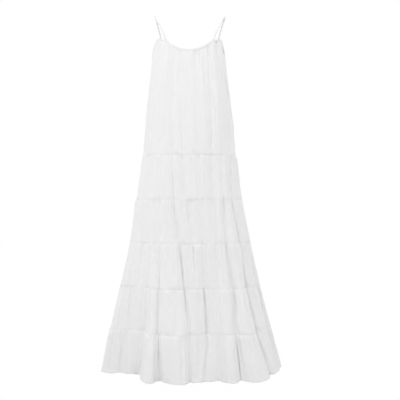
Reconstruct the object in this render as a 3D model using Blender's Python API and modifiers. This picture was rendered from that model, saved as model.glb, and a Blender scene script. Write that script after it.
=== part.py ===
"""Tiered maxi dress with a gathered scoop neck and thin shoulder straps, hanging hollow as if worn.

Units are metres. The front faces -Y and +Z is up. z = 0 is where the shoulders carry the straps, so the
whole dress lies below it. Left and right are the wearer's: left is +X.

The cloth is one continuous surface, cut into its sewn pieces. A point on it is named by a side (front or
back), an angle across that side and a height. The angle is -90 degrees at the right side seam, 0 at the
centre and 90 at the left side seam.
"""

import math
from collections import namedtuple

import bpy
import numpy as np

# Cloth and sewing.
WALL = 0.0012  # thickness of the gauze wall
SEAM_GAP = 0.0004  # space between pieces that are sewn together
SIDE_GAP = 0.0010  # space along the side seams
BINDING_GAP = 0.0007  # space between a binding and the panel below it
BINDING_WALL = 0.0028  # bias binding, folded round the cloth's edge
BINDING_HEIGHT = 0.0075
CORNER_SPACE = 0.16  # degrees between a corner and the end of each binding there
STRAP_RADIUS = 0.0028  # rouleau strap
PUFF = 0.002  # how far a tier swells below its gathered seam
PUFF_PLACE = 0.6  # below 1, the swelling is fullest above the middle of the tier
GAUZE_COLOUR = (0.86, 0.86, 0.855, 1.0)
GAUZE_ROUGHNESS = 0.9

# Where each fold's lips stand, as shares of the way to the next fold. A narrow fold has none.
LIP = 0.12
NARROW_FOLD = 8.0  # degrees

# Heights of the seams, with the hem last. Tier n hangs from seam n to the next one.
SEAMS = (-0.555, -0.725, -0.892, -1.063, -1.230, -1.397)
TIER_ROWS = (2, 2, 3, 3, 3)
BODY_ROWS = 7

# The dress's top edge. The neck runs between the strap corners, and each armhole from a front corner under
# the arm to the back corner. An Edge row is an angle away from the centre, in degrees, and the edge's height
# there. The first row of each armhole is its corner.
NECK_HEIGHTS = {"front": -0.152, "back": -0.180}
NECK_CURVE = 1.95  # how late the neck edge turns up towards the straps
UNDERARM = -0.168
Edge = namedtuple("Edge", "angle height")
RIGHT_CORNER, LEFT_CORNER, BACK_CORNER = 38.0, 42.0, 46.5
BACK_ARMHOLE = (
    Edge(BACK_CORNER, -0.1200),
    Edge(56.0, -0.1240),
    Edge(70.0, -0.1460),
    Edge(90.0, UNDERARM),
)
ARMHOLES = {
    ("front", "right"): (
        Edge(RIGHT_CORNER, -0.1120),
        Edge(44.0, -0.1125),
        Edge(53.0, -0.1055),
        Edge(64.5, -0.1200),
        Edge(76.0, -0.1440),
        Edge(90.0, UNDERARM),
    ),
    ("front", "left"): (
        Edge(LEFT_CORNER, -0.1120),
        Edge(48.0, -0.1115),
        Edge(57.0, -0.1050),
        Edge(65.0, -0.1090),
        Edge(73.0, -0.1330),
        Edge(90.0, UNDERARM),
    ),
    ("back", "right"): BACK_ARMHOLE,
    ("back", "left"): BACK_ARMHOLE,
}

# The dress's outline by height. squareness is below 1 where the chest makes the section boxy, 1 for an
# ellipse, and up to 2 where the skirt is pulled out into pointed sides. tip_left and tip_right are how far
# the side seams stand behind the middle.
Section = namedtuple("Section", "height half_width centre_x front back squareness tip_left tip_right")
SECTIONS = (
    Section(-0.080, 0.1440, -0.003, 0.106, 0.100, 0.67, 0.000, 0.000),
    Section(-0.165, 0.1460, -0.003, 0.121, 0.105, 0.70, 0.000, 0.000),
    Section(-0.230, 0.1515, -0.003, 0.127, 0.108, 0.75, 0.000, 0.000),
    Section(-0.345, 0.1638, -0.002, 0.138, 0.117, 0.84, 0.000, 0.000),
    Section(-0.450, 0.1738, -0.001, 0.146, 0.130, 0.93, 0.000, 0.000),
    Section(-0.555, 0.1828, -0.001, 0.152, 0.142, 1.00, 0.000, 0.000),
    Section(-0.725, 0.2085, -0.001, 0.160, 0.158, 1.15, 0.000, 0.000),
    Section(-0.892, 0.2375, 0.003, 0.164, 0.172, 1.35, 0.010, 0.000),
    Section(-1.063, 0.2765, 0.003, 0.172, 0.188, 1.60, 0.040, 0.000),
    Section(-1.230, 0.3165, 0.005, 0.192, 0.208, 1.80, 0.090, 0.000),
    Section(-1.397, 0.3560, 0.008, 0.215, 0.232, 2.00, 0.140, 0.005),
)

# The main folds of each side, from the right side seam to the left one. angles are in degrees and creases
# in millimetres, both at the heights in FOLD_LEVELS. flute is how far the cloth between this fold and the
# next stands out at the hem, in millimetres. soft is small for a sharp crease and 1 or more for a rounded one.
FOLD_LEVELS = (-0.130, -0.345) + SEAMS
FLUTE_GROWTH = (0.0, 0.02, 0.06, 0.14, 0.28, 0.50, 0.76, 1.0)
Fold = namedtuple("Fold", "angles creases flute soft")
FRONT_FOLDS = (
    Fold((-62, -62, -60, -58, -54, -50, -47, -44), (0, 0, 2, 4, 14, 30, 48, 62), 4, 1.5),
    Fold((-RIGHT_CORNER, -43, -44, -42, -38, -35, -33, -33), (0, 0, 1, 3, 12, 26, 52, 80), 100, 0.6),
    Fold((-30, -32, -30, -29, -27, -25, -23, -19), (0, 1, 2, 4, 8, 14, 30, 34), 46, 0.5),
    Fold((-16, -19, -19, -16, -10, -5, -1.5, 0.5), (3, 5, 7, 12, 15, 15, 9, 8), 20, 0.6),
    Fold((-6, -7, -5, -2, 2.4, 5, 6.6, 5.6), (2, 3, 6, 11, 14, 16, 14, 2), 6, 0.6),
    Fold((8, 8, 8, 9, 11, 10.4, 10, 9), (0, 0, 1, 3, 8, 24, 36, 24), 8, 0.4),
    Fold((29, 28, 26, 28, 26, 24, 21, 18), (3, 6, 8, 9, 5, 5, 7, 10), 48, 0.9),
    Fold((LEFT_CORNER, 44, 42, 39, 35, 36, 31, 30), (0, 0, 2, 4, 12, 12, 10, 8), 82, 0.5),
    Fold((48, 68, 58, 49, 51, 49, 50.5, 54.5), (3, 5, 5, 8, 14, 18, 22, 24), 14, 0.4),
    Fold((62, 80, 76, 74, 73, 71, 74, 77), (0, 0, 1, 3, 5, 5, 4, 2), 0, 0.5),
)
BACK_FOLDS = (
    Fold((-66, -68, -68, -67, -66, -66, -67, -68), (0, 0, 2, 5, 10, 14, 18, 24), 34, 0.6),
    Fold((-BACK_CORNER, -50, -51, -50, -49, -48, -47, -46), (2, 3, 4, 7, 10, 16, 24, 30), 44, 0.8),
    Fold((-26, -32, -35, -34, -32, -29, -28, -27), (2, 4, 6, 9, 12, 16, 20, 28), 40, 0.5),
    Fold((-12, -15, -17, -17, -16, -13, -11, -9), (3, 4, 6, 9, 12, 18, 26, 30), 38, 0.7),
    Fold((3, 2, 0, 1, 3, 5, 7, 8), (2, 4, 5, 8, 10, 12, 16, 20), 46, 0.6),
    Fold((16, 18, 20, 21, 22, 24, 25, 27), (3, 4, 6, 10, 14, 20, 26, 32), 42, 0.5),
    Fold((30, 35, 39, 40, 41, 42, 44, 45), (2, 3, 5, 8, 10, 8, 4, -6), 44, 0.8),
    Fold((BACK_CORNER, 54, 58, 60, 61, 62, 63, 64), (0, 1, 3, 5, 3, -10, -40, -75), 22, 0.5),
)
FIRST_FLUTE = 28  # the flute between the right side seam and the first fold, in millimetres
MILLIMETRE = 0.001

# Routes of the straps' middles, from the front corners over the shoulders to the back corners.
STRAP_ROUTES = {
    "left": (
        (0.0941, -0.0990, -0.1080),
        (0.0991, -0.0910, -0.0965),
        (0.1041, -0.0800, -0.0799),
        (0.1111, -0.0690, -0.0641),
        (0.1199, -0.0570, -0.0480),
        (0.1273, -0.0400, -0.0287),
        (0.1359, -0.0140, -0.0080),
        (0.1390, 0.0080, -0.0030),
        (0.1384, 0.0300, -0.0070),
        (0.1345, 0.0450, -0.0165),
        (0.1284, 0.0580, -0.0352),
        (0.1214, 0.0700, -0.0589),
        (0.1125, 0.0830, -0.0890),
        (0.1055, 0.0900, -0.1130),
    ),
    "right": (
        (-0.0912, -0.0990, -0.1080),
        (-0.0937, -0.0930, -0.0990),
        (-0.0985, -0.0835, -0.0850),
        (-0.1052, -0.0740, -0.0709),
        (-0.1136, -0.0600, -0.0505),
        (-0.1211, -0.0480, -0.0370),
        (-0.1301, -0.0320, -0.0220),
        (-0.1385, -0.0100, -0.0060),
        (-0.1402, 0.0080, -0.0030),
        (-0.1375, 0.0280, -0.0070),
        (-0.1310, 0.0450, -0.0180),
        (-0.1257, 0.0610, -0.0400),
        (-0.1190, 0.0745, -0.0650),
        (-0.1115, 0.0900, -0.1130),
    ),
}
STRAP_POINTS = 36

SIDES = {"front": (-1.0, FRONT_FOLDS), "back": (1.0, BACK_FOLDS)}


def clear_scene():
    for thing in list(bpy.data.objects):
        bpy.data.objects.remove(thing)


def gauze_for(piece_name):
    """White cotton gauze for one piece, matt, with a trace of warmth."""
    cloth = bpy.data.materials.new(f"{piece_name}_gauze")
    cloth.use_nodes = True
    shader = cloth.node_tree.nodes["Principled BSDF"]
    shader.inputs["Base Color"].default_value = GAUZE_COLOUR
    shader.inputs["Roughness"].default_value = GAUZE_ROUGHNESS
    shader.inputs["Metallic"].default_value = 0.0
    return cloth


def section_at(height):
    """The outline's sizes at a height, between the rows of SECTIONS."""
    rows = SECTIONS[::-1]
    heights = [row.height for row in rows]
    return Section(height, *(np.interp(height, heights, [row[i] for row in rows]) for i in range(1, 8)))


def puff_at(height):
    """How far the cloth swells: most a third of the way down each tier, and nothing at the seams."""
    for top, bottom in zip(SEAMS, SEAMS[1:]):
        if bottom <= height <= top:
            down = (top - height) / (top - bottom)
            return PUFF * math.sin(math.pi * down**PUFF_PLACE)
    return 0.0


def at_level(values, height):
    """A fold's angle or crease at a height."""
    return np.interp(height, FOLD_LEVELS[::-1], values[::-1])


def fold_angle(side, number, height):
    """Angle of a fold at a height. Number 0 is the right side seam, and the last is the left side seam."""
    folds = SIDES[side][1]
    if number == 0:
        return -90.0
    if number > len(folds):
        return 90.0
    return at_level(folds[number - 1].angles, height)


def fold_height(side, number, share, height):
    """How far the cloth stands out from the plain outline, at a share of the way from one fold to the next."""
    outward, folds = SIDES[side]
    section = section_at(height)
    ends = []
    for index in (number, number + 1):
        if index == 0:
            ends.append((outward * section.tip_right, 1.0))
        elif index > len(folds):
            ends.append((outward * section.tip_left, 1.0))
        else:
            fold = folds[index - 1]
            ends.append((-at_level(fold.creases, height) * MILLIMETRE, fold.soft))
    (low, soft), (next_low, next_soft) = ends
    flute = (folds[number - 1].flute if number > 0 else FIRST_FLUTE) * MILLIMETRE
    swell = share**soft * (1 - share) ** next_soft
    peak = soft / (soft + next_soft)
    most = peak**soft * (1 - peak) ** next_soft
    grown = at_level(FLUTE_GROWTH, height)
    return low + (next_low - low) * share + flute * grown * swell / most


def angle_of(side, number, share, height):
    """Angle of the cloth at a share of the way from one fold to the next."""
    first = fold_angle(side, number, height)
    return first + share * (fold_angle(side, number + 1, height) - first)


def outline_point(side, angle, height, swell=0.0, stands_out=0.0):
    """A point of the outline, swollen all round by swell and moved forwards or backwards by stands_out."""
    section = section_at(height)
    across = math.sin(math.radians(angle))
    depth = section.front if side == "front" else section.back
    roundness = min(section.squareness, 1.0)
    reach = max(0.0, 1.0 - abs(across) ** (2.0 / roundness)) ** (section.squareness / 2.0)
    x = section.centre_x + (section.half_width + swell) * across
    return (x, SIDES[side][0] * ((depth + swell) * reach + stands_out), height)


def surface_point(side, number, share, height):
    """A point of the cloth's middle surface."""
    angle = angle_of(side, number, share, height)
    return outline_point(side, angle, height, puff_at(height), fold_height(side, number, share, height))


def smooth_between(rows, angle):
    """Height of an edge at an angle, on a smooth curve through its rows."""
    after = max(1, min(len(rows) - 1, sum(1 for row in rows if row.angle < angle)))
    low, high = rows[after - 1], rows[after]
    before, beyond = rows[max(after - 2, 0)], rows[min(after + 1, len(rows) - 1)]
    width = high.angle - low.angle
    slope_low = (high.height - before.height) / (high.angle - before.angle)
    slope_high = (beyond.height - low.height) / (beyond.angle - low.angle)
    t = (angle - low.angle) / width
    return (
        low.height * (1 + 2 * t) * (1 - t) ** 2
        + high.height * t * t * (3 - 2 * t)
        + slope_low * width * t * (1 - t) ** 2
        - slope_high * width * t * t * (1 - t)
    )


def edge_height(side, angle):
    """Height of the dress's top edge: the neck between the corners, and the armhole beyond them."""
    armhole = ARMHOLES[side, "left" if angle > 0 else "right"]
    corner = armhole[0]
    low = NECK_HEIGHTS[side]
    away = abs(angle)
    if away <= corner.angle:
        return low + (corner.height - low) * (away / corner.angle) ** NECK_CURVE
    return smooth_between(armhole, away)


def columns_of(side):
    """The cloth's columns: each fold, its two lips and its flute, as (fold, share of the way to the next)."""
    last = len(SIDES[side][1])
    columns = []
    for number in range(last + 1):
        spread = fold_angle(side, number + 1, SEAMS[-1]) - fold_angle(side, number, SEAMS[-1])
        columns.append((number, 0.0))
        if number > 0 and spread > NARROW_FOLD:
            columns.append((number, LIP))
        columns.append((number, 0.5))
        if number < last and spread > NARROW_FOLD:
            columns.append((number, 1.0 - LIP))
    return columns + [(last, 1.0)]


def top_edge(side):
    """Where each of a side's columns meets the dress's top edge, as (angle, height of the edge)."""
    stations = []
    for number, share in columns_of(side):
        height = FOLD_LEVELS[0]
        for _ in range(4):
            angle = angle_of(side, number, share, height - BINDING_HEIGHT - BINDING_GAP)
            height = edge_height(side, angle)
        stations.append((angle, height))
    return stations


def panel_grid(side, tops, bottom, rows):
    """Rows of points of a panel, from its top edge down to its bottom. tops holds each column's top height."""
    grid = []
    for row in range(rows + 1):
        line = []
        for (number, share), top in zip(columns_of(side), tops):
            height = top + (bottom - top) * row / rows
            line.append(surface_point(side, number, share, height))
        grid.append(line)
    grid = np.array(grid)
    for edge, neighbour in ((0, 1), (-1, -2)):
        down = np.gradient(grid[:, edge], axis=0)
        normal = np.cross(grid[:, neighbour] - grid[:, edge], down)
        normal /= np.linalg.norm(normal, axis=1)[:, None]
        half_wall = np.abs(normal[:, 1] - normal[:, 2] * down[:, 1] / down[:, 2]) * WALL / 2.0
        grid[:, edge, 1] += SIDES[side][0] * (SIDE_GAP / 2.0 + half_wall)
    return grid


def shell_from_grid(name, grid, thickness, collection, outward_first):
    """One sewn piece: an open sheet over the grid's points, thickened to a closed wall."""
    rows, columns = grid.shape[:2]
    faces = []
    for row in range(rows - 1):
        for column in range(columns - 1):
            corner = row * columns + column
            face = (corner, corner + columns, corner + columns + 1, corner + 1)
            faces.append(face if outward_first else face[::-1])
    mesh = bpy.data.meshes.new(name)
    mesh.from_pydata([tuple(point) for point in grid.reshape(-1, 3)], [], faces)
    mesh.materials.append(gauze_for(name))
    mesh.shade_smooth()
    piece = bpy.data.objects.new(name, mesh)
    collection.objects.link(piece)
    wall = piece.modifiers.new("wall", "SOLIDIFY")
    wall.thickness = thickness
    wall.offset = 0.0
    return piece


def make_panel(name, side, tops, bottom, rows, collection):
    grid = panel_grid(side, tops, bottom, rows)
    return shell_from_grid(name, grid, WALL, collection, side == "front")


def make_body(collection):
    """The long upper panels, from just under the neck and armhole bindings to the first seam."""
    for side in SIDES:
        tops = [height - BINDING_HEIGHT - BINDING_GAP for _, height in top_edge(side)]
        make_panel(f"{side}_body", side, tops, SEAMS[0] + SEAM_GAP / 2.0, BODY_ROWS, collection)


def make_tiers(collection):
    """Five gathered tiers, each a front and a back strip. The lowest ends in the hem."""
    for number, rows in enumerate(TIER_ROWS, start=1):
        bottom = SEAMS[number] + SEAM_GAP / 2.0
        for side in SIDES:
            tops = [SEAMS[number - 1] - SEAM_GAP / 2.0] * len(columns_of(side))
            make_panel(f"tier_{number}_{side}", side, tops, bottom, rows, collection)


def make_binding(name, stations, collection, outward_first):
    """A narrow band along the top edge, through stations of (side, angle, height)."""
    grid = []
    for drop in (0.0, BINDING_HEIGHT):
        grid.append([outline_point(side, angle, height - drop) for side, angle, height in stations])
    grid = np.array(grid)
    return shell_from_grid(name, grid, BINDING_WALL, collection, outward_first)


def edge_stations(side, hand):
    """Stations along half of a side's top edge, from the centre outwards, and the number of the corner's."""
    sign = 1.0 if hand == "left" else -1.0
    half = sorted((abs(angle), height) for angle, height in top_edge(side) if sign * angle > 0)
    away = [angle for angle, _ in half]
    corner = min(range(len(away)), key=lambda number: abs(away[number] - ARMHOLES[side, hand][0].angle))
    return [(side, sign * angle, height) for angle, height in half], corner


def moved(station, degrees):
    """A station moved along the edge, away from the centre."""
    side, angle, height = station
    return (side, angle + math.copysign(1.0, angle) * degrees, height)


def make_bindings(collection):
    """Neck bindings from corner to corner, and armhole bindings from front corners to back corners."""
    for side in SIDES:
        halves = []
        for hand in ("right", "left"):
            half, corner = edge_stations(side, hand)
            halves.append(half[:corner] + [moved(half[corner], -CORNER_SPACE)])
        make_binding(f"{side}_neck_binding", halves[0][::-1] + halves[1], collection, side == "front")
    for hand in ("left", "right"):
        halves = []
        for side in SIDES:
            half, corner = edge_stations(side, hand)
            halves.append([moved(half[corner], CORNER_SPACE)] + half[corner + 1 :])
        make_binding(f"armhole_binding_{hand}", halves[0] + halves[1][-2::-1], collection, hand == "left")


def smooth_route(points, count):
    """Evenly counted points on a smooth curve through a route's own points."""
    points = np.array(points)
    padded = np.vstack([2 * points[0] - points[1], points, 2 * points[-1] - points[-2]])
    found = []
    for place in np.linspace(0, len(points) - 1, count):
        start = min(int(place), len(points) - 2)
        share = place - start
        before, here, there, after = padded[start : start + 4]
        found.append(
            0.5
            * (
                2 * here
                + (there - before) * share
                + (2 * before - 5 * here + 4 * there - after) * share**2
                + (3 * here - before - 3 * there + after) * share**3
            )
        )
    return found


def make_straps(collection):
    """Rouleau straps: soft tubes from the front corners over the shoulders to the back corners."""
    for hand, points in STRAP_ROUTES.items():
        name = f"strap_{hand}"
        curve = bpy.data.curves.new(name, "CURVE")
        curve.dimensions = "3D"
        curve.bevel_depth = STRAP_RADIUS
        curve.bevel_resolution = 2
        curve.use_fill_caps = True
        spline = curve.splines.new("POLY")
        route = smooth_route(points, STRAP_POINTS)
        spline.points.add(len(route) - 1)
        for target, point in zip(spline.points, route):
            target.co = (*point, 1.0)
        curve.materials.append(gauze_for(name))
        collection.objects.link(bpy.data.objects.new(name, curve))


def build():
    clear_scene()
    collection = bpy.data.collections.new("tiered_maxi_dress")
    bpy.context.scene.collection.children.link(collection)
    make_body(collection)
    make_tiers(collection)
    make_bindings(collection)
    make_straps(collection)


build()
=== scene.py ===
"""White tiered maxi dress in crinkled cotton gauze, hanging hollow as if worn.

Metres, +Z up, front towards -Y. The straps' tops are at z = 0. The dress is built in the order it
is sewn: the body panels, the gathered tiers with the hem, the bindings and the straps. Then come the
floor, the lights and the camera.
"""

import math
from collections import namedtuple

import bpy
import numpy as np
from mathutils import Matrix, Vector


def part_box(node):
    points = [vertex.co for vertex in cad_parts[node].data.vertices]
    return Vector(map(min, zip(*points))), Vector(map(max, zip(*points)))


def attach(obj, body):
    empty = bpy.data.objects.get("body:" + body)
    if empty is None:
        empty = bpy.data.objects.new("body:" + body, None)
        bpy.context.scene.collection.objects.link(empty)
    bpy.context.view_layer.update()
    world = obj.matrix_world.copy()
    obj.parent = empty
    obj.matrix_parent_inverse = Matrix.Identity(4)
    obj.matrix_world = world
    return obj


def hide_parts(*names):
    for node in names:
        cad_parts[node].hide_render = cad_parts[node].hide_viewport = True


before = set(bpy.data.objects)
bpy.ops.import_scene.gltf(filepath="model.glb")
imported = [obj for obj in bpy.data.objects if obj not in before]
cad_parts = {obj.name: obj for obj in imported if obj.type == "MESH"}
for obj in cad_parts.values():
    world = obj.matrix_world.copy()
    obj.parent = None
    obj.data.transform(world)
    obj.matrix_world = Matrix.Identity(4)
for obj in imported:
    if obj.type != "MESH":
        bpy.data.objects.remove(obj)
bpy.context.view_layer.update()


# --------------------------------------------------------------------------------------------------
# Body panels. Two long panels of crinkled cotton gauze, front and back, gathered into the neck
# binding and joined at the sides. With the tiers below them they hang as one surface, and its folds
# run from top to hem.

CAD_WALL = 0.0012
CLOTH_THICKNESS = 0.0009
SECTION_COLUMNS = "height half_width centre front back squareness tip_right tip_left"
Section = namedtuple("Section", SECTION_COLUMNS)


def seam_section(node, front, back, squareness, tip_right=0.0, tip_left=0.0, swing=0.0):
    """The outline at a panel's lower edge, as wide as in the frame, but for its left side's swing."""
    low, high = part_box(node)
    half_width = (high[0] - low[0] - CAD_WALL + swing) / 2
    centre = (high[0] + low[0] + swing) / 2
    return Section(low[2], half_width, centre, front, back, squareness, tip_right, tip_left)


# From the neck down. front and back are depths, squareness is below 1 for a boxy section and up to 2
# for one with pointed sides, and the tips are how far the side seams hang behind the middle.
SECTIONS = (
    Section(-0.080, 0.1400, -0.003, 0.106, 0.100, 0.67, 0.0, 0.0),
    Section(-0.165, 0.1428, -0.003, 0.121, 0.105, 0.70, 0.0, 0.0),
    Section(-0.230, 0.1502, -0.003, 0.127, 0.108, 0.75, 0.0, 0.0),
    Section(-0.345, 0.1638, -0.002, 0.138, 0.117, 0.84, 0.0, 0.0),
    Section(-0.450, 0.1738, -0.001, 0.146, 0.130, 0.93, 0.0, 0.0),
    seam_section("front_body", 0.152, 0.142, 1.00),
    seam_section("tier_1_front", 0.160, 0.158, 1.15),
    seam_section("tier_2_front", 0.164, 0.172, 1.35),
    seam_section("tier_3_front", 0.172, 0.188, 1.60, 0.0, 0.010),
    seam_section("tier_4_front", 0.192, 0.208, 1.80, -0.010, 0.050, 0.003),
    seam_section("tier_5_front", 0.215, 0.232, 2.00, 0.015, 0.115, 0.009),
)
SEAMS = [section.height for section in SECTIONS[-6:]]

# The folds, from the right side seam to the left one. Angles are in degrees across the side, creases
# and pinches in millimetres, and all are given at FOLD_LEVELS. A crease draws the cloth in from fold
# to fold, a pinch only in its own narrow line. flute is how far the cloth up to the next fold stands
# out at the hem. before and after are small where the cloth turns sharply into the crease, and late is
# above 1 where the flute opens only low down.
FOLD_LEVELS = np.array([-0.130, -0.345] + SEAMS)
FLUTE_GROWTH = (0.0, 0.02, 0.06, 0.14, 0.28, 0.50, 0.76, 1.0)
Fold = namedtuple("Fold", "angles creases pinches flute before after late", defaults=(1.0,))
FRONT_FOLDS = (
    Fold(
        angles=(-62, -62, -60, -58, -54, -50, -47, -44),
        creases=(0, 0, 2, 4, 12, 26, 44, 48),
        pinches=(0, 0, 0, 0, 1, 1, 0, 0),
        flute=4,
        before=1.5,
        after=1.5,
    ),
    Fold(
        angles=(-38, -43, -44, -42, -38, -35, -33, -33.6),
        creases=(0, 0, 1, 3, 12, 26, 62, 76),
        pinches=(0, 0, 0, 1, 2, 5, 2, 0),
        flute=112,
        before=1.2,
        after=0.5,
        late=1.8,
    ),
    Fold(
        angles=(-30, -32, -30, -29, -27, -25, -23, -20),
        creases=(0, 1, 1, 1, 1, 1, 6, 20),
        pinches=(0, 1, 3, 4, 5, 7, 6, 4),
        flute=46,
        before=0.7,
        after=0.65,
        late=1.2,
    ),
    Fold(
        angles=(-16, -19, -19, -16, -10, -5, -1.5, -1.5),
        creases=(3, 5, 7, 13, 17, 17, 9, 5),
        pinches=(3, 5, 8, 10, 10, 8, 5, 5),
        flute=12,
        before=0.4,
        after=0.7,
    ),
    Fold(
        angles=(-6, -7, -5, -2, 2.4, 5, 6.6, 3),
        creases=(2, 3, 6, 12, 15, 16, 14, -6),
        pinches=(2, 4, 8, 11, 10, 8, 5, 0),
        flute=14,
        before=0.8,
        after=0.9,
    ),
    Fold(
        angles=(8, 8, 8, 9, 11, 10.4, 10, 6.6),
        creases=(0, 0, 1, 3, 10, 30, 46, 15),
        pinches=(0, 1, 2, 3, 5, 7, 10, 3),
        flute=4,
        before=0.5,
        after=0.5,
    ),
    Fold(
        angles=(29, 28, 26, 28, 26, 24, 21, 17),
        creases=(3, 6, 8, 9, 5, 5, 7, 8),
        pinches=(4, 9, 14, 11, 4, 2, 2, 2),
        flute=46,
        before=0.8,
        after=0.7,
    ),
    Fold(
        angles=(42, 44, 42, 39, 35, 36, 31, 28.6),
        creases=(0, 0, 2, 4, 8, 6, 2, -6),
        pinches=(0, 0, 2, 4, 6, 4, 2, 2),
        flute=112,
        before=0.4,
        after=0.9,
        late=0.8,
    ),
    Fold(
        angles=(48, 68, 58, 49, 51, 49, 50.5, 54.7),
        creases=(3, 5, 8, 15, 19, 22, 22, 18),
        pinches=(4, 7, 10, 12, 14, 14, 13, 9),
        flute=56,
        before=0.36,
        after=0.5,
    ),
    Fold(
        angles=(62, 76, 76, 73, 70, 68, 68, 70),
        creases=(0, 1, 5, 10, 17, 26, 36, 44),
        pinches=(0, 3, 8, 10, 12, 14, 14, 10),
        flute=8,
        before=0.35,
        after=0.5,
    ),
)
BACK_FOLDS = (
    Fold(
        angles=(-66, -68, -68, -67, -66, -66, -67, -68),
        creases=(0, 0, 2, 4, 5, 2, -8, -18),
        pinches=(0, 0, 1, 2, 3, 4, 5, 5),
        flute=34,
        before=0.7,
        after=0.6,
    ),
    Fold(
        angles=(-46, -50, -51, -50, -49, -48, -47, -46),
        creases=(2, 3, 4, 7, 10, 16, 24, 30),
        pinches=(1, 3, 4, 5, 6, 7, 8, 7),
        flute=44,
        before=0.8,
        after=0.5,
    ),
    Fold(
        angles=(-26, -32, -35, -34, -32, -29, -28, -27),
        creases=(2, 4, 6, 9, 12, 16, 20, 28),
        pinches=(0, 0, 2, 4, 5, 6, 7, 8),
        flute=40,
        before=0.5,
        after=0.8,
    ),
    Fold(
        angles=(-12, -15, -17, -17, -16, -13, -11, -9),
        creases=(3, 4, 6, 9, 12, 18, 26, 30),
        pinches=(2, 4, 6, 7, 8, 6, 5, 4),
        flute=38,
        before=0.7,
        after=0.5,
    ),
    Fold(
        angles=(3, 2, 0, 1, 3, 5, 7, 8),
        creases=(2, 4, 5, 8, 10, 12, 16, 20),
        pinches=(0, 1, 2, 3, 4, 7, 9, 8),
        flute=46,
        before=0.6,
        after=0.6,
    ),
    Fold(
        angles=(16, 18, 20, 21, 22, 24, 25, 27),
        creases=(3, 4, 6, 10, 14, 20, 26, 32),
        pinches=(1, 3, 5, 6, 6, 7, 7, 9),
        flute=42,
        before=0.5,
        after=0.8,
    ),
    Fold(
        angles=(30, 35, 39, 40, 41, 42, 44, 45),
        creases=(2, 3, 5, 8, 10, 8, 4, -6),
        pinches=(0, 0, 1, 3, 6, 8, 6, 5),
        flute=44,
        before=0.8,
        after=0.5,
    ),
    Fold(
        angles=(46, 54, 58, 60, 61, 62, 63, 64),
        creases=(0, 1, 3, 5, 3, -10, -40, -75),
        pinches=(1, 2, 3, 4, 4, 4, 5, 6),
        flute=22,
        before=0.5,
        after=0.6,
    ),
)
FIRST_FLUTE = 44
PINCH_WIDTH = 0.0056
PINCH_SHAPE = 1.5
MILLIMETRE = 0.001
Side = namedtuple("Side", "outward folds")
SIDES = {"front": Side(-1.0, FRONT_FOLDS), "back": Side(1.0, BACK_FOLDS)}


def smooth_through(heights, values, at):
    """Values at any heights, on a smooth curve through a table's rows that doesn't overshoot them."""
    order = np.argsort(heights)
    x, y = np.asarray(heights, float)[order], np.asarray(values, float)[order]
    step, rise = np.diff(x), np.diff(y) / np.diff(x)
    slope = np.zeros_like(y)
    same_way = rise[:-1] * rise[1:] > 0
    harmonic = 2 * rise[:-1] * rise[1:] / np.where(same_way, rise[:-1] + rise[1:], 1.0)
    slope[1:-1] = np.where(same_way, harmonic, 0.0)
    slope[0], slope[-1] = rise[0], rise[-1]
    at = np.clip(at, x[0], x[-1])
    row = np.clip(np.searchsorted(x, at) - 1, 0, len(x) - 2)
    t = (at - x[row]) / step[row]
    return (
        y[row] * (1 + 2 * t) * (1 - t) ** 2
        + y[row + 1] * t * t * (3 - 2 * t)
        + slope[row] * step[row] * t * (1 - t) ** 2
        - slope[row + 1] * step[row] * t * t * (1 - t)
    )


def section_at(height):
    """The outline of the smooth hanging cloth at some heights."""
    heights, *columns = zip(*SECTIONS)
    return Section(height, *(smooth_through(heights, column, height) for column in columns))


def fold_line(side, number, height):
    """Angle and depth of a fold at some heights. The first and last are the side seams."""
    outward, folds = SIDES[side]
    if number in (0, len(folds) + 1):
        section = section_at(height)
        tip, angle = (section.tip_right, -90.0) if number == 0 else (section.tip_left, 90.0)
        return np.full_like(height, angle), -outward * tip
    fold = folds[number - 1]
    angle = smooth_through(FOLD_LEVELS, fold.angles, height)
    return angle, smooth_through(FOLD_LEVELS, fold.creases, height) * MILLIMETRE


def pinch_depth(side, number, height):
    """Depth of a fold's own narrow line at some heights, a little uneven down its length."""
    pinch = smooth_through(FOLD_LEVELS, SIDES[side].folds[number - 1].pinches, height) * MILLIMETRE
    uneven = 0.7 + 0.3 * np.sin(height * 31.0 + 2.1 * number) * np.sin(height * 73.0 + 1.3 * number)
    return pinch * uneven


def hanging_cloth(side, number, share, height):
    """Points of the smooth hanging cloth at shares of the way from one fold to the next, and their
    angles across the side."""
    outward, folds = SIDES[side]
    section = section_at(height)
    angle, crease = fold_line(side, number, height)
    next_angle, next_crease = fold_line(side, number + 1, height)
    angle = angle + share * (next_angle - angle)
    across = np.sin(np.radians(angle))
    depth = section.front if side == "front" else section.back
    roundness = np.minimum(section.squareness, 1.0)
    reach = np.clip(1 - np.abs(across) ** (2 / roundness), 0, 1) ** (section.squareness / 2)
    after = folds[number - 1].after if number > 0 else 1.0
    before = folds[number].before if number < len(folds) else 1.0
    flute = (folds[number - 1].flute if number > 0 else FIRST_FLUTE) * MILLIMETRE
    late = folds[number - 1].late if number > 0 else 1.0
    flute = flute * smooth_through(FOLD_LEVELS, FLUTE_GROWTH, height) ** late
    peak = after / (after + before)
    swell = share**after * (1 - share) ** before / (peak**after * (1 - peak) ** before)
    out = depth * reach - crease * (1 - share) - next_crease * share + flute * swell
    x = section.centre + section.half_width * across
    return np.stack([x, outward * out, height], axis=-1), angle


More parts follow.
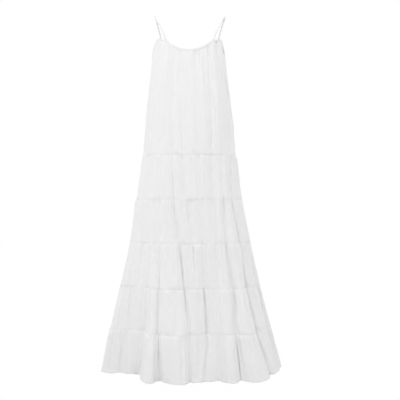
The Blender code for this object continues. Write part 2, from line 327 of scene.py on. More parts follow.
# The top edge: the neck between the strap corners, and the armholes beyond them, as angle and height.
# The neck is flat in the middle and rises towards the corners, the more sharply the larger NECK_CURVE.
NECK_CURVE = 1.95
BINDING_HEIGHT = 0.0075
UNDER_BINDING = 0.003
UNDERARM = -0.168
RIGHT_CORNER, LEFT_CORNER, BACK_CORNER = 38.0, 42.0, 46.5
Edge = namedtuple("Edge", "angle height")
BACK_ARMHOLE = (
    Edge(BACK_CORNER, -0.120),
    Edge(56.0, -0.1240),
    Edge(70.0, -0.1460),
    Edge(90.0, UNDERARM),
)
ARMHOLES = {
    ("front", "right"): (
        Edge(RIGHT_CORNER, -0.1120),
        Edge(44.0, -0.1125),
        Edge(53.0, -0.1055),
        Edge(64.5, -0.1200),
        Edge(76.0, -0.1440),
        Edge(90.0, UNDERARM),
    ),
    ("front", "left"): (
        Edge(LEFT_CORNER, -0.1120),
        Edge(48.0, -0.1115),
        Edge(57.0, -0.1050),
        Edge(65.0, -0.1090),
        Edge(73.0, -0.1330),
        Edge(90.0, UNDERARM),
    ),
    ("back", "right"): BACK_ARMHOLE,
    ("back", "left"): BACK_ARMHOLE,
}


def edge_height(side, angle):
    """Height of the dress's top edge at angles across a side."""
    angle = np.asarray(angle, float)
    height = np.zeros_like(angle)
    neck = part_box(f"{side}_neck_binding")[0][2] + BINDING_HEIGHT
    for hand, sign in (("right", -1), ("left", 1)):
        rows = ARMHOLES[side, hand]
        away = angle * sign
        along_neck = neck + (rows[0].height - neck) * np.clip(away / rows[0].angle, 0, 1) ** NECK_CURVE
        along_arm = smooth_through([row.angle for row in rows], [row.height for row in rows], away)
        height = np.where(away >= 0, np.where(away <= rows[0].angle, along_neck, along_arm), height)
    return height


def ripple(across, down, width, length, seed):
    """Soft random ridges down the cloth, about width across and length long, from -1 to 1."""
    dice = np.random.default_rng(seed)
    u = across / width + 0.35 * np.sin(across / width * 0.9 + seed) + 2
    v = down / length + 2 + 0.2 * np.sin(across / width * 0.7 + 2 * seed)
    lattice = dice.uniform(-1, 1, (int(u.max()) + 3, int(v.max()) + 3))
    i, j = u.astype(int), v.astype(int)
    s, t = u - i, v - j
    s, t = s**3 * (s * (6 * s - 15) + 10), t**3 * (t * (6 * t - 15) + 10)
    top = lattice[i, j] * (1 - s) + lattice[i + 1, j] * s
    bottom = lattice[i, j + 1] * (1 - s) + lattice[i + 1, j + 1] * s
    return top * (1 - t) + bottom * t


def eased_rows(count, crowding):
    """Shares of the way down a panel, crowded towards both of its seams."""
    even = np.linspace(0, 1, count + 1)
    return (1 - crowding) * even + crowding * (0.5 - 0.5 * np.cos(math.pi * even))


def lengths_along(path):
    """How far each point of a path is from its start, along it."""
    return np.concatenate([[0.0], np.cumsum(np.linalg.norm(np.diff(path, axis=0), axis=1))])


Panel = namedtuple("Panel", "points normals across down")
FOLD_ROUND = 0.014
FOLD_DEEP = 0.009
SIDE_SEAM_KEEP = 0.030
OUT_OF_REACH = 9.0


def open_deep_folds(points, outward):
    """Keeps folds from being slits. A ball of radius FOLD_ROUND is rolled over each row, and the cloth
    goes down no more than about FOLD_DEEP below where the ball can reach."""
    for row in points:
        x, out = row[:, 0], row[:, 1] * outward
        apart = np.abs(x[:, None] - x[None, :])
        ball = np.sqrt(np.maximum(FOLD_ROUND**2 - apart**2, 0))
        centre_height = (out[None, :] + np.where(apart < FOLD_ROUND, ball, -OUT_OF_REACH)).max(axis=1)
        under_ball = centre_height[None, :] - np.where(apart < FOLD_ROUND, ball, -OUT_OF_REACH)
        bridged = under_ball.min(axis=1)
        gap = np.maximum(bridged - out, 0)
        opened = gap - FOLD_DEEP * (1 - np.exp(-gap / FOLD_DEEP))
        from_side = np.minimum(x - x[0], x[-1] - x)
        row[:, 1] += outward * opened * (1 - np.exp(-((from_side / SIDE_SEAM_KEEP) ** 2)))


FOLD_CROWDING = 0.6
FOLD_REACH = 0.007


def space_columns(points, starts, outward):
    """Spaces the columns along every row, closer together at the folds. The folds' own columns, whose
    numbers are starts, go to the folds' bottoms."""
    for row in points:
        before = row.copy()
        out = before[:, 1] * outward
        bottoms = list(starts)
        for number in range(1, len(starts) - 1):
            near = np.abs(before[:, 0] - before[starts[number], 0]) < FOLD_REACH
            bottoms[number] = int(np.argmin(np.where(near, out, OUT_OF_REACH)))
        for number in range(len(starts) - 1):
            stretch = before[bottoms[number] : bottoms[number + 1] + 1]
            walked = lengths_along(stretch[:, :2])
            wanted = walked[-1] * eased_rows(starts[number + 1] - starts[number], FOLD_CROWDING)
            between = slice(starts[number], starts[number + 1] + 1)
            for axis in range(3):
                row[between, axis] = np.interp(wanted, walked, stretch[:, axis])


def unit(vectors):
    """The same directions, one long."""
    return vectors / np.maximum(np.linalg.norm(vectors, axis=-1, keepdims=True), 1e-12)


def normals_of(points):
    """Normals of a grid of points. The back panels' point into the dress, and are turned afterwards."""
    along = np.gradient(points, axis=1)
    downward = np.gradient(points, axis=0)
    return unit(np.cross(downward, along))


ROW_CROWDING = 0.75
OUTLINE_STEPS = 400
LEAST_COLUMNS = 6
TOP_EDGE_PASSES = 4
ROUNDING_PASSES = 4


def lay_panel(side, top_of, bottom, column_width, row_count):
    """The smooth grid of one panel: its points, outward normals, and the cloth's own coordinates in
    metres. top_of gives the height of its upper edge at an angle, and bottom is its lower edge's."""
    shares_down = eased_rows(row_count, ROW_CROWDING)[:, None]
    fine = eased_rows(OUTLINE_STEPS, 1.0)
    fine = fine * fine * (3 - 2 * fine)
    strips = []
    starts = []
    folds = SIDES[side].folds
    for number in range(len(folds) + 1):
        outline = hanging_cloth(side, number, fine, np.full_like(fine, bottom))[0]
        lengths = lengths_along(outline)
        count = max(LEAST_COLUMNS, round(lengths[-1] / column_width))
        share = np.interp(np.linspace(0, lengths[-1], count + 1), lengths, fine)
        share = share if number == len(folds) else share[:-1]
        height = np.full((row_count + 1, len(share)), bottom)
        for _ in range(TOP_EDGE_PASSES):
            angle = hanging_cloth(side, number, share, height)[1]
            top = top_of(angle[:1])
            height = top + (bottom - top) * shares_down
        starts.append(sum(strip.shape[1] for strip in strips))
        strips.append(hanging_cloth(side, number, share[None, :], height)[0])
    points = np.concatenate(strips, axis=1)
    starts.append(points.shape[1] - 1)
    open_deep_folds(points, SIDES[side].outward)
    space_columns(points, starts, SIDES[side].outward)
    for number in range(1, len(folds) + 1):
        away = np.linalg.norm(points - points[:, starts[number], None], axis=-1)
        pinch = pinch_depth(side, number, points[:, starts[number], 2])[:, None]
        points[..., 1] -= SIDES[side].outward * pinch * np.exp(-((away / PINCH_WIDTH) ** PINCH_SHAPE))
    for _ in range(ROUNDING_PASSES):
        points[:, 1:-1, :2] = (points[:, :-2, :2] + 2 * points[:, 1:-1, :2] + points[:, 2:, :2]) / 4
        points[1:-1, :, :2] = (points[:-2, :, :2] + 2 * points[1:-1, :, :2] + points[2:, :, :2]) / 4
    steps = np.linalg.norm(np.diff(points, axis=1), axis=-1).mean(axis=0)
    across = np.concatenate([[0.0], np.cumsum(steps)])[None, :] + np.zeros(points.shape[:2])
    down = points[:1, :, 2] - points[:, :, 2]
    return Panel(points, normals_of(points) * -SIDES[side].outward, across, down)


# The smaller shapes in the cloth. Strengths are shares of a panel's own, or metres for the crumples
# and puckers. Each kind is about width across and length long, and draws on its own random numbers.
Ridges = namedtuple("Ridges", "strength width length seed")
FINE_GATHERS = Ridges(1.0, 0.0065, 0.10, 2)
WIDE_GATHERS = Ridges(0.8, 0.011, 0.14, 3)
LONG_RIDGES = (Ridges(1.0, 0.0095, 0.28, 4), Ridges(1.3, 0.017, 0.40, 9), Ridges(1.6, 0.036, 0.60, 5))
CRUMPLES = (Ridges(0.0011, 0.030, 0.055, 6), Ridges(0.0006, 0.012, 0.030, 7))
PUCKERS = Ridges(0.0012, 0.007, 0.05, 8)
GATHER_REACH = 0.022
GATHER_REACH_MORE = 0.045
WIDE_GATHER_REACH = 2.2
SEAM_GRIP = 0.006
SIDE_SEAM_CALM = 0.014
PUFF = 0.0014
PUFF_DROP = 0.018
SEAM_GROOVE = 0.0007
SEAM_GROOVE_WIDTH = 0.0055
SEAM_SOFTNESS = (0.5, 0.22, 0.6, 1.0, 1.0, 1.0, 0.0)
HEM_FOLD = 0.009
HEM_FOLD_DEPTH = 0.0010
HEM_FOLD_EDGE = 0.0004
HEM_STITCH_WIDTH = 0.0016
HEM_SAG = 0.0026
HEM_RUFFLE = 0.0008


def ridged(kind, panel, height, seed):
    """One kind of ridges over a whole panel, as high as its strength times height."""
    shape = ripple(panel.across, panel.down, kind.width, kind.length, seed + kind.seed)
    return kind.strength * height * shape


def seam_depth(x, seam):
    """Depth of a seam's groove along it: deep in places and all but flat in others."""
    uneven = 0.55 + 0.45 * ripple(x + 1.0, 0 * x, 0.022, 1.0, 70 + seam)
    return SEAM_GROOVE * SEAM_SOFTNESS[seam] * uneven


def wrinkle(panel, gathers, ridges, seam, seed, hem=False):
    """Moves a panel's points out and in along its normals: short gathers under its top seam, long soft
    ridges, crumples, small puckers over its lower seam, and the seams' own grooves. seam numbers its
    lower seam, and a hem has a turned edge in its place."""
    across, down, x = panel.across, panel.down, panel.points[..., 0]
    up = down[-1:] - down
    uneven = (1 + ripple(across[:1], 0 * across[:1], 0.020, 1.0, seed + 1)) / 2
    reach = GATHER_REACH + GATHER_REACH_MORE * uneven
    move = ridged(FINE_GATHERS, panel, gathers, seed) * np.exp(-down / reach)
    move += ridged(WIDE_GATHERS, panel, gathers, seed) * np.exp(-down / (WIDE_GATHER_REACH * reach))
    move += sum(ridged(kind, panel, ridges, seed) for kind in LONG_RIDGES)
    move += sum(ridged(kind, panel, 1.0, seed) for kind in CRUMPLES)
    move *= 1 - np.exp(-down / SEAM_GRIP)
    if not hem:
        move *= 1 - 0.6 * np.exp(-up / 0.022) - 0.4 * np.exp(-up / 0.004)
        move += ridged(PUCKERS, panel, 1.0, seed) * (np.exp(-up / 0.014) - np.exp(-up / 0.003))
        move -= seam_depth(x, seam) * np.exp(-((up / SEAM_GROOVE_WIDTH) ** 2))
    else:
        doubled_and_shaded = 1 / (1 + np.exp((up - HEM_FOLD) / HEM_FOLD_EDGE))
        stitched = np.exp(-(((up - HEM_FOLD) / HEM_STITCH_WIDTH) ** 2))
        move += HEM_FOLD_DEPTH * (doubled_and_shaded - stitched)
    move += PUFF * SEAM_SOFTNESS[seam - 1] * (down / PUFF_DROP) * np.exp(1 - down / PUFF_DROP)
    from_side = np.minimum(across, across[:, -1:] - across)
    move *= 1 - np.exp(-((from_side / SIDE_SEAM_CALM) ** 2))
    move -= seam_depth(x, seam - 1) * np.exp(-((down / SEAM_GROOVE_WIDTH) ** 2))
    points = panel.points + panel.normals * move[..., None]
    if hem:
        sag = HEM_SAG * (1 + ripple(across, 0 * down, 0.030, 1.0, seed + 10))
        sag += HEM_RUFFLE * ripple(across, 0 * down, 0.008, 1.0, seed + 11)
        points[..., 2] -= sag * (down / down[-1:]) ** 4
    return panel._replace(points=points)


def cloth_object(name, panel, thickness, material):
    """A panel's mesh: its grid, its thickness, and two UV maps in metres. One holds the cloth's own
    coordinates, the other the height above the lower edge, along which shade is painted."""
    rows, columns = panel.points.shape[:2]
    index = np.arange(rows * columns).reshape(rows, columns)
    corners = (index[:-1, :-1], index[1:, :-1], index[1:, 1:], index[:-1, 1:])
    quads = np.stack(corners, axis=-1).reshape(-1, 4)
    mesh = bpy.data.meshes.new(name)
    mesh.from_pydata(panel.points.reshape(-1, 3), [], quads.tolist())
    layer = mesh.uv_layers.new(name="cloth")
    flat = np.stack([panel.across, -panel.down], axis=-1).reshape(-1, 2)
    layer.uv.foreach_set("vector", flat[quads.ravel()].astype(np.float32).ravel())
    # This map carries the height above the lower edge for the painted shade along it.
    turned = mesh.uv_layers.new(name="turned_edge")
    from_edge = np.stack([panel.across, panel.down[-1:] - panel.down], axis=-1).reshape(-1, 2)
    turned.uv.foreach_set("vector", from_edge[quads.ravel()].astype(np.float32).ravel())
    mesh.materials.append(material)
    mesh.shade_smooth()
    piece = bpy.data.objects.new(name, mesh)
    bpy.context.scene.collection.objects.link(piece)
    wall = piece.modifiers.new("thickness", "SOLIDIFY")
    wall.thickness = thickness
    wall.offset = 0.0
    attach(piece, "root")
    return piece


def new_node(owner, kind, **settings):
    """A shader node of a material or the world, with its settings and plain input values. Spaces in the
    inputs' names are written as underscores."""
    node = owner.node_tree.nodes.new(kind)
    for name, value in settings.items():
        socket = name.replace("_", " ")
        if socket in node.inputs:
            node.inputs[socket].default_value = value
        else:
            setattr(node, name, value)
    return node


# The crinkle is closer across the cloth than down it, and so are the faint slubs and patches.
CRINKLE_SCALE = (260.0, 46.0, 1.0)
PATCH_SCALE = (22.0, 7.0, 1.0)
WEAVE_SCALE = 340.0
# CRINKLE_SHARE is how far the crinkle's hollows darken the colour, as painted shade, and PATCH_SHARE
# how far the random patches do.
CRINKLE_SHARE = 0.55
PATCH_SHARE = 0.45
# Painted shade along each panel's lower edge, at the seams and the hem: the colour falls to a share of
# its own over a band of uneven height.
SEAM_SHADE_HEIGHT = 0.014
SEAM_SHADE_LEVEL = 0.965
SEAM_SHADE_UNEVEN = 0.055
SEAM_SHADE_LOWER = -0.0265


def make_gauze(name, light, dark, crinkle, weave, lets_light_in, painted_seam_shade=False):
    """White cotton gauze: a plain weave about a millimetre apart, crinkled lengthwise, matt, with faint
    slubs. light and dark are how white it is, and crinkle and weave how high they stand. Its colour is
    darker in the crinkle's hollows, as painted shade, and in faint random patches. Where asked, shade
    is also painted along its lower edge, at a seam or the hem, where the colour is a little darker."""
    material = bpy.data.materials.new(name)
    material.use_nodes = True
    link = material.node_tree.links.new
    shader = material.node_tree.nodes["Principled BSDF"]
    shader.inputs["Roughness"].default_value = 0.92
    shader.inputs["Specular IOR Level"].default_value = 0.15
    shader.inputs["Subsurface Weight"].default_value = lets_light_in
    shader.inputs["Subsurface Radius"].default_value = (1.0, 1.0, 1.0)
    shader.inputs["Subsurface Scale"].default_value = 0.004
    shader.inputs["Sheen Weight"].default_value = 0.06
    shader.inputs["Sheen Roughness"].default_value = 0.6
    cloth = new_node(material, "ShaderNodeUVMap", uv_map="cloth")

    # The crinkle: fine noise, drawn out down the cloth.
    stretched = new_node(material, "ShaderNodeMapping", Scale=CRINKLE_SCALE)
    crinkled = new_node(material, "ShaderNodeTexNoise", Scale=1.0, Detail=3.0, Roughness=0.55)
    crinkled.inputs["Distortion"].default_value = 0.5
    link(cloth.outputs["UV"], stretched.inputs["Vector"])
    link(stretched.outputs["Vector"], crinkled.inputs["Vector"])

    # The weave: warp bands times weft bands.
    threads = {}
    for thread, way in (("warp", "X"), ("weft", "Y")):
        threads[thread] = new_node(material, "ShaderNodeTexWave", Scale=WEAVE_SCALE, Distortion=0.0)
        threads[thread].wave_type = "BANDS"
        threads[thread].bands_direction = way
        link(cloth.outputs["UV"], threads[thread].inputs["Vector"])
    woven = new_node(material, "ShaderNodeMath", operation="MULTIPLY")
    link(threads["warp"].outputs["Fac"], woven.inputs[0])
    link(threads["weft"].outputs["Fac"], woven.inputs[1])

    # The colour: between dark and light, darker in the crinkle's hollows as painted shade, and by
    # larger faint random patches.
    drawn_out = new_node(material, "ShaderNodeMapping", Scale=PATCH_SCALE)
    patches = new_node(material, "ShaderNodeTexNoise", Scale=1.0, Detail=5.0, Roughness=0.6)
    link(cloth.outputs["UV"], drawn_out.inputs["Vector"])
    link(drawn_out.outputs["Vector"], patches.inputs["Vector"])
    fainter = new_node(material, "ShaderNodeMath", operation="MULTIPLY")
    fainter.inputs[1].default_value = PATCH_SHARE
    link(patches.outputs["Fac"], fainter.inputs[0])
    shade = new_node(material, "ShaderNodeMath", operation="MULTIPLY_ADD")
    shade.inputs[1].default_value = CRINKLE_SHARE
    link(crinkled.outputs["Fac"], shade.inputs[0])
    link(fainter.outputs["Value"], shade.inputs[2])
    tint = new_node(material, "ShaderNodeValToRGB")
    tint.color_ramp.elements[0].position = 0.36
    tint.color_ramp.elements[0].color = (dark, dark, dark, 1.0)
    tint.color_ramp.elements[1].position = 0.58
    tint.color_ramp.elements[1].color = (light, light, light, 1.0)
    link(shade.outputs["Value"], tint.inputs["Fac"])

    # Painted shade along the lower edge: up to an uneven height above it, at the seams and the hem, the
    # colour is a little darker.
    if not painted_seam_shade:
        link(tint.outputs["Color"], shader.inputs["Base Color"])
    else:
        edge = new_node(material, "ShaderNodeUVMap", uv_map="turned_edge")
        height = new_node(material, "ShaderNodeSeparateXYZ")
        link(edge.outputs["UV"], height.inputs["Vector"])
        uneven = new_node(material, "ShaderNodeMath", operation="MULTIPLY_ADD")
        uneven.inputs[1].default_value = SEAM_SHADE_UNEVEN
        uneven.inputs[2].default_value = SEAM_SHADE_LOWER
        link(patches.outputs["Fac"], uneven.inputs[0])
        nearness = new_node(material, "ShaderNodeMath", operation="ADD")
        link(uneven.outputs["Value"], nearness.inputs[0])
        link(height.outputs["Y"], nearness.inputs[1])
        doubled_and_shaded = new_node(material, "ShaderNodeMapRange", From_Min=0.0, From_Max=SEAM_SHADE_HEIGHT)
        doubled_and_shaded.interpolation_type = "SMOOTHSTEP"
        doubled_and_shaded.inputs["To Min"].default_value = SEAM_SHADE_LEVEL
        doubled_and_shaded.inputs["To Max"].default_value = 1.0
        link(nearness.outputs["Value"], doubled_and_shaded.inputs["Value"])
        seam_shaded = new_node(material, "ShaderNodeVectorMath", operation="SCALE")
        link(tint.outputs["Color"], seam_shaded.inputs[0])
        link(doubled_and_shaded.outputs["Result"], seam_shaded.inputs["Scale"])
        link(seam_shaded.outputs["Vector"], shader.inputs["Base Color"])

    # The relief: the crinkle, with the weave over it.
    creased = new_node(material, "ShaderNodeBump", Strength=0.5, Distance=crinkle)
    threaded = new_node(material, "ShaderNodeBump", Strength=0.35, Distance=weave)
    link(crinkled.outputs["Fac"], creased.inputs["Height"])
    link(woven.outputs["Value"], threaded.inputs["Height"])
    link(creased.outputs["Normal"], threaded.inputs["Normal"])
    link(threaded.outputs["Normal"], shader.inputs["Normal"])
    return material


gauze = make_gauze(
    "crinkled_gauze",
    light=0.925,
    dark=0.895,
    crinkle=0.0011,
    weave=0.00022,
    lets_light_in=0.22,
    # shade painted along each panel's lower edge, at the seams and the hem
    painted_seam_shade=True,
)

BODY_ROWS = 78
BODY_GATHERS = 0.0026
BODY_RIDGES = 0.0029
body_pieces = {}
for side, column_width, seed in (("front", 0.0025, 100), ("back", 0.0028, 200)):

    def body_top(angle, side=side):
        return edge_height(side, angle) - UNDER_BINDING

    panel = lay_panel(side, body_top, SEAMS[0], column_width, BODY_ROWS)
    panel = wrinkle(panel, BODY_GATHERS, BODY_RIDGES, 1, seed)
    piece = cloth_object(f"{side}_body_cloth", panel, CLOTH_THICKNESS, gauze)
    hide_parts(f"{side}_body")
    body_pieces[side] = piece


# --------------------------------------------------------------------------------------------------
# Tiers. Five strips of the same gauze, each a front and a back one, gathered along the top edge and
# sewn under the edge above. Each is cut wider than the last, so the skirt flares. The lowest is hemmed.

TIER_ROWS = 36
TIER_COLUMN_WIDTH = 0.0026
TIER_GATHERS = 0.0036
TIER_RIDGES = 0.0021
TIER_RIDGES_MORE = 0.0001
TIER_SEED = 1000
tier_pieces = {}
for number in range(1, 6):
    for side in SIDES:
        top, bottom = SEAMS[number - 1], SEAMS[number]

        def tier_top(angle, top=top):
            return np.full_like(angle, top)

        panel = lay_panel(side, tier_top, bottom, TIER_COLUMN_WIDTH, TIER_ROWS)
        ridges = TIER_RIDGES + TIER_RIDGES_MORE * number
        seed = TIER_SEED + 100 * number + (50 if side == "back" else 0)
        panel = wrinkle(panel, TIER_GATHERS, ridges, number + 1, seed, hem=number == 5)
        piece = cloth_object(f"tier_{number}_{side}_cloth", panel, CLOTH_THICKNESS, gauze)
        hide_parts(f"tier_{number}_{side}")
        tier_pieces[number, side] = piece


# --------------------------------------------------------------------------------------------------
# Bindings. Narrow strips of the gauze cut on the bias, folded over the gathered neck and armhole edges
# and stitched along their lower edge. The two neck bindings run from strap to strap, the armhole ones
# under the arm.

BINDING_THICKNESS = 0.0026
BINDING_CORNERS = 16
BINDING_STEP = 0.0016
BINDING_SQUARENESS = 0.55
BINDING_PUCKER = 0.00035
BINDING_PUCKER_SIZE = 0.004


def edge_points(side, angle):
    """Points of the dress's top edge, on the plain outline."""
    height = edge_height(side, angle)
    section = section_at(height)
    across = np.sin(np.radians(angle))
    depth = section.front if side == "front" else section.back
    reach = np.clip(1 - np.abs(across) ** (2 / section.squareness), 0, 1) ** (section.squareness / 2)
    x = section.centre + section.half_width * across
    return np.stack([x, SIDES[side].outward * depth * reach, height], axis=-1)


def evenly(points, spacing):
    """Points at even distances along a path."""
    lengths = lengths_along(points)
    places = np.linspace(0, lengths[-1], max(2, round(lengths[-1] / spacing)) + 1)
    return np.stack([np.interp(places, lengths, points[:, i]) for i in range(3)], axis=1)


def swept(name, rings, along, material):
    """A closed skin over rings of points, facing outward, with its ends filled."""
    count, corners = rings.shape[:2]
    centres = rings.mean(axis=1)
    spokes = rings[0] - centres[0]
    if np.cross(spokes, np.roll(spokes, -1, axis=0)).sum(axis=0) @ (centres[1] - centres[0]) < 0:
        rings = rings[:, ::-1]
    index = np.arange(count * corners).reshape(count, corners)
    around = np.roll(index, -1, axis=1)
    quads = np.stack([index[:-1], around[:-1], around[1:], index[1:]], axis=-1).reshape(-1, 4)
    ends = [index[0, ::-1].tolist(), index[-1].tolist()]
    mesh = bpy.data.meshes.new(name)
    mesh.from_pydata(rings.reshape(-1, 3), [], quads.tolist() + ends)
    layer = mesh.uv_layers.new(name="cloth")
    girth = np.linalg.norm(np.diff(rings[0], axis=0, append=rings[0, :1]), axis=1)
    turn = np.concatenate([[0.0], np.cumsum(girth)])
    uvs = []
    for ring in range(count - 1):
        for corner in range(corners):
            low, high = turn[corner], turn[corner + 1]
            start, stop = along[ring], along[ring + 1]
            uvs += [(start, low), (start, high), (stop, high), (stop, low)]
    uvs += [(0.0, low) for low in turn[:-1]] * 2
    layer.uv.foreach_set("vector", np.array(uvs, np.float32).ravel())
    mesh.materials.append(material)
    mesh.shade_smooth()
    piece = bpy.data.objects.new(name, mesh)
    bpy.context.scene.collection.objects.link(piece)
    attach(piece, "root")
    return piece


def make_binding(name, path, node, seed):
    """A flattened tube along the edge, a little puckered by the gathers inside it."""
    path = evenly(path, BINDING_STEP)
    along = np.arange(len(path)) * BINDING_STEP
    tangent = unit(np.gradient(path, axis=0))
    outward = path * (1, 1, 0)
    outward = unit(outward - tangent * (outward * tangent).sum(axis=1, keepdims=True))
    upward = unit(np.cross(tangent, outward))
    upward *= np.sign(upward[:, 2:3])
    middle = path - upward * BINDING_HEIGHT / 2
    turn = np.linspace(0, 2 * math.pi, BINDING_CORNERS, endpoint=False)
    wide = np.sign(np.cos(turn)) * np.abs(np.cos(turn)) ** BINDING_SQUARENESS * BINDING_THICKNESS / 2
    tall = np.sign(np.sin(turn)) * np.abs(np.sin(turn)) ** BINDING_SQUARENESS * BINDING_HEIGHT / 2
    length, height = np.broadcast_arrays(along[:, None], np.abs(tall))
    puckered = ripple(length, height, BINDING_PUCKER_SIZE, BINDING_PUCKER_SIZE, seed)
    out = wide[None, :] + BINDING_PUCKER * puckered * np.sign(wide)
    rings = middle[:, None] + outward[:, None] * out[..., None] + upward[:, None] * tall[None, :, None]
    piece = swept(name, rings, along, shaded_binding_gauze)
    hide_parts(node)
    return piece


# The bindings' gauze is painted darker than the dress's, as painted shade on the folded edges.
shaded_binding_gauze = make_gauze(
    "bias_binding",
    light=0.875,
    dark=0.845,
    crinkle=0.0005,
    weave=0.00018,
    lets_light_in=0.1,
)
NEAR_CORNER = 0.16
NECK_POINTS = 240
ARMHOLE_FRONT_POINTS = 160
ARMHOLE_BACK_POINTS = 140
NECK_SEED = 31
ARMHOLE_SEED = 37
for side in SIDES:
    right, left = (ARMHOLES[side, hand][0].angle for hand in ("right", "left"))
    path = edge_points(side, np.linspace(-right + NEAR_CORNER, left - NEAR_CORNER, NECK_POINTS))
    piece = make_binding(f"{side}_neck_bias", path, f"{side}_neck_binding", NECK_SEED)
for hand, name in ((1.0, "left"), (-1.0, "right")):
    corner = ARMHOLES["front", name][0].angle + NEAR_CORNER
    front = edge_points("front", hand * np.linspace(corner, 90.0, ARMHOLE_FRONT_POINTS))
    back_corner = BACK_CORNER + NEAR_CORNER
    back = edge_points("back", hand * np.linspace(90.0, back_corner, ARMHOLE_BACK_POINTS))
    path = np.concatenate([front, back[1:]])
    piece = make_binding(f"armhole_bias_{name}", path, f"armhole_binding_{name}", ARMHOLE_SEED)


# --------------------------------------------------------------------------------------------------
# Straps. Rouleau straps: bias strips sewn into narrow soft tubes and turned, caught in the bindings at
# the front and back corners. Each passes over the shoulder, and twists a little as it goes.

STRAP_RADIUS = 0.0033
STRAP_WIDER = 1.05
STRAP_FLATTER = 0.86
STRAP_CORNERS = 14
STRAP_POINTS = 400
STRAP_STEP = 0.0015
STRAP_TWIST = 1.4
STRAP_UNEVEN = 0.05
STRAP_LUMP = 0.004
STRAP_LUMP_ROUND = 0.002
STRAP_SEED = 61
# The straps' gauze is painted darker than the dress's, as painted shade on the thin round tubes.
shaded_strap_gauze = make_gauze(
    "strap_gauze",
    light=0.880,
    dark=0.860,
    crinkle=0.00025,
    weave=0.00008,
    lets_light_in=0.8,
)

# From the front corner over the shoulder to the back one.
STRAP_ROUTES = {
    "left": (
        (0.0925, -0.0990, -0.1170),
        (0.0941, -0.0990, -0.1080),
        (0.0991, -0.0910, -0.0965),
        (0.1041, -0.0800, -0.0799),
        (0.1111, -0.0690, -0.0641),
        (0.1199, -0.0570, -0.0480),
        (0.1273, -0.0400, -0.0287),
        (0.1359, -0.0140, -0.0080),
        (0.1390, 0.0080, -0.0030),
        (0.1384, 0.0300, -0.0070),
        (0.1345, 0.0450, -0.0165),
        (0.1284, 0.0580, -0.0352),
        (0.1214, 0.0700, -0.0589),
        (0.1125, 0.0830, -0.0890),
        (0.1055, 0.0900, -0.1130),
        (0.1045, 0.0885, -0.1230),
    ),
    "right": (
        (-0.0900, -0.0990, -0.1170),
        (-0.0912, -0.0990, -0.1080),
        (-0.0937, -0.0930, -0.0990),
        (-0.0985, -0.0835, -0.0850),
        (-0.1052, -0.0740, -0.0709),
        (-0.1136, -0.0600, -0.0505),
        (-0.1211, -0.0480, -0.0370),
        (-0.1301, -0.0320, -0.0220),
        (-0.1362, -0.0100, -0.0060),
        (-0.1376, 0.0080, -0.0030),
        (-0.1352, 0.0280, -0.0070),
        (-0.1310, 0.0450, -0.0180),
        (-0.1257, 0.0610, -0.0400),
        (-0.1190, 0.0745, -0.0650),
        (-0.1115, 0.0900, -0.1130),
        (-0.1105, 0.0885, -0.1230),
    ),
}


def curve_through(points, count):
    """Points on a smooth curve through a route's own points."""
    points = np.array(points)
    at = np.linspace(0, len(points) - 1, count)
    padded = np.vstack([2 * points[0] - points[1], points, 2 * points[-1] - points[-2]])
    start = np.minimum(at.astype(int), len(points) - 2)
    t = (at - start)[:, None]
    before, here, there, after = (padded[start + k] for k in range(4))
    return 0.5 * (
        2 * here
        + (there - before) * t
        + (2 * before - 5 * here + 4 * there - after) * t**2
        + (3 * here - before - 3 * there + after) * t**3
    )


for hand, name in ((1.0, "left"), (-1.0, "right")):
    path = evenly(curve_through(STRAP_ROUTES[name], STRAP_POINTS), STRAP_STEP)
    along = np.arange(len(path)) * STRAP_STEP
    tangent = unit(np.gradient(path, axis=0))
    across = unit(np.cross(tangent, (0.0, 1.0, 0.3)))
    thick = unit(np.cross(across, tangent))
    twist = STRAP_TWIST * hand * along / along[-1]
    turn = np.linspace(0, 2 * math.pi, STRAP_CORNERS, endpoint=False)
    length, girth = np.broadcast_arrays(along[:, None], turn * STRAP_LUMP_ROUND)
    soft = 1 + STRAP_UNEVEN * ripple(length, girth, STRAP_LUMP, STRAP_LUMP, STRAP_SEED)
    wide = np.cos(turn) * STRAP_RADIUS * soft * STRAP_WIDER
    deep = np.sin(turn) * STRAP_RADIUS * soft * STRAP_FLATTER
    spun = np.cos(twist)[:, None] * wide - np.sin(twist)[:, None] * deep
    risen = np.sin(twist)[:, None] * wide + np.cos(twist)[:, None] * deep
    rings = path[:, None] + across[:, None] * spun[..., None] + thick[:, None] * risen[..., None]
    piece = swept(f"rouleau_strap_{name}", rings, along, shaded_strap_gauze)
    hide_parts(f"strap_{name}")


# --------------------------------------------------------------------------------------------------
# Cuts. Every panel and strip is cut flat from the same gauze. Each one's size is its width before
# gathering and its length from seam to seam, with the seam allowances. Here only each tier's length is
# worked out, and it is not used.

SEAM_ALLOWANCE = 0.010
for side, piece in body_pieces.items():
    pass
for (number, side), piece in tier_pieces.items():
    length = round(SEAMS[number - 1] - SEAMS[number] + 2 * SEAM_ALLOWANCE, 3)


# --------------------------------------------------------------------------------------------------
# Studio. A plain white floor a little below the hem, soft light all round that is strongest from the
# front, above and a little left, and the camera in front, level with the middle of the dress.

FLOOR_HALF = 9.0
HEM_CLEARANCE = 0.06
floor_height = SEAMS[-1] - HEM_CLEARANCE
floor_corners = [(x * FLOOR_HALF, y * FLOOR_HALF) for x, y in ((-1, -1), (1, -1), (1, 1), (-1, 1))]
floor_mesh = bpy.data.meshes.new("floor")
floor_mesh.from_pydata([(x, y, floor_height) for x, y in floor_corners], [], [(0, 1, 2, 3)])
floor = bpy.data.objects.new("floor", floor_mesh)
bpy.context.scene.collection.objects.link(floor)
paper = bpy.data.materials.new("white_paper")
paper.use_nodes = True
paper_shader = paper.node_tree.nodes["Principled BSDF"]
paper_shader.inputs["Base Color"].default_value = (0.09, 0.09, 0.09, 1.0)
paper_shader.inputs["Roughness"].default_value = 1.0
paper_shader.inputs["Specular IOR Level"].default_value = 0.0
paper_shader.inputs["Emission Color"].default_value = (1.0, 1.0, 1.0, 1.0)
paper_shader.inputs["Emission Strength"].default_value = 0.94
floor_mesh.materials.append(paper)
floor.visible_diffuse = False

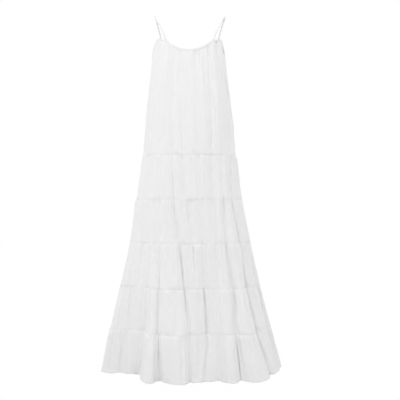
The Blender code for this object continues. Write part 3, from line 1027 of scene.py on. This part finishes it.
# A grey card under the dress, which the camera doesn't see, makes the light from below a little weaker.
CARD_RADIUS = 0.9
CARD_SIDES = 48
card_height = floor_height + MILLIMETRE
rim = []
for corner in range(CARD_SIDES):
    turn = 2 * math.pi * corner / CARD_SIDES
    rim.append((CARD_RADIUS * math.cos(turn), CARD_RADIUS * math.sin(turn), card_height))
card_mesh = bpy.data.meshes.new("grey_card")
card_mesh.from_pydata(rim, [], [list(range(CARD_SIDES))])
card = bpy.data.objects.new("grey_card", card_mesh)
bpy.context.scene.collection.objects.link(card)
grey = bpy.data.materials.new("grey_paper")
grey.use_nodes = True
grey_shader = grey.node_tree.nodes["Principled BSDF"]
grey_shader.inputs["Base Color"].default_value = (0.66, 0.66, 0.66, 1.0)
grey_shader.inputs["Roughness"].default_value = 1.0
card_mesh.materials.append(grey)
card.visible_camera = False
card.visible_shadow = False

# The light all round: brightest towards the key direction, and plain white where the camera looks.
TOWARDS_KEY = (-0.33, -0.82, 0.47)
DIMMEST = 1.01
BRIGHTEST = 1.31
world = bpy.data.worlds.new("studio")
world.use_nodes = True
bpy.context.scene.world = world
world.node_tree.nodes.clear()
direction = new_node(world, "ShaderNodeTexCoord")
towards_key = new_node(world, "ShaderNodeVectorMath", operation="DOT_PRODUCT")
towards_key.inputs[1].default_value = TOWARDS_KEY
brightness = new_node(world, "ShaderNodeMapRange", From_Min=-1.0, From_Max=1.0)
brightness.inputs["To Min"].default_value = DIMMEST
brightness.inputs["To Max"].default_value = BRIGHTEST
soft_light = new_node(world, "ShaderNodeBackground")
white = new_node(world, "ShaderNodeBackground", Strength=1.0, Color=(1.0, 1.0, 1.0, 1.0))
seen = new_node(world, "ShaderNodeLightPath")
choose = new_node(world, "ShaderNodeMixShader")
output = new_node(world, "ShaderNodeOutputWorld")
join = world.node_tree.links.new
join(direction.outputs["Generated"], towards_key.inputs[0])
join(towards_key.outputs["Value"], brightness.inputs["Value"])
join(brightness.outputs["Result"], soft_light.inputs["Strength"])
join(seen.outputs["Is Camera Ray"], choose.inputs["Fac"])
join(soft_light.outputs["Background"], choose.inputs[1])
join(white.outputs["Background"], choose.inputs[2])
join(choose.outputs["Shader"], output.inputs["Surface"])

softbox = bpy.data.lights.new("softbox", "AREA")
softbox.shape = "SQUARE"
softbox.size = 1.4
softbox.energy = 4.0
softbox_object = bpy.data.objects.new("softbox", softbox)
softbox_object.location = (-1.0, -2.2, 0.5)
bpy.context.scene.collection.objects.link(softbox_object)
aim = bpy.data.objects.new("softbox_aim", None)
aim.location = (0.0, 0.0, -0.40)
bpy.context.scene.collection.objects.link(aim)
facing = softbox_object.constraints.new("TRACK_TO")
facing.target = aim
facing.track_axis = "TRACK_NEGATIVE_Z"
facing.up_axis = "UP_Y"

camera_data = bpy.data.cameras.new("camera")
camera_data.sensor_width = 36.0
camera_data.lens = 72.9
camera = bpy.data.objects.new("camera", camera_data)
camera.location = (0.0415, -3.2, -0.727)
camera.rotation_euler = (math.pi / 2, 0.0, 0.0)
bpy.context.scene.collection.objects.link(camera)
bpy.context.scene.camera = camera
bpy.context.scene.view_settings.view_transform = "Standard"
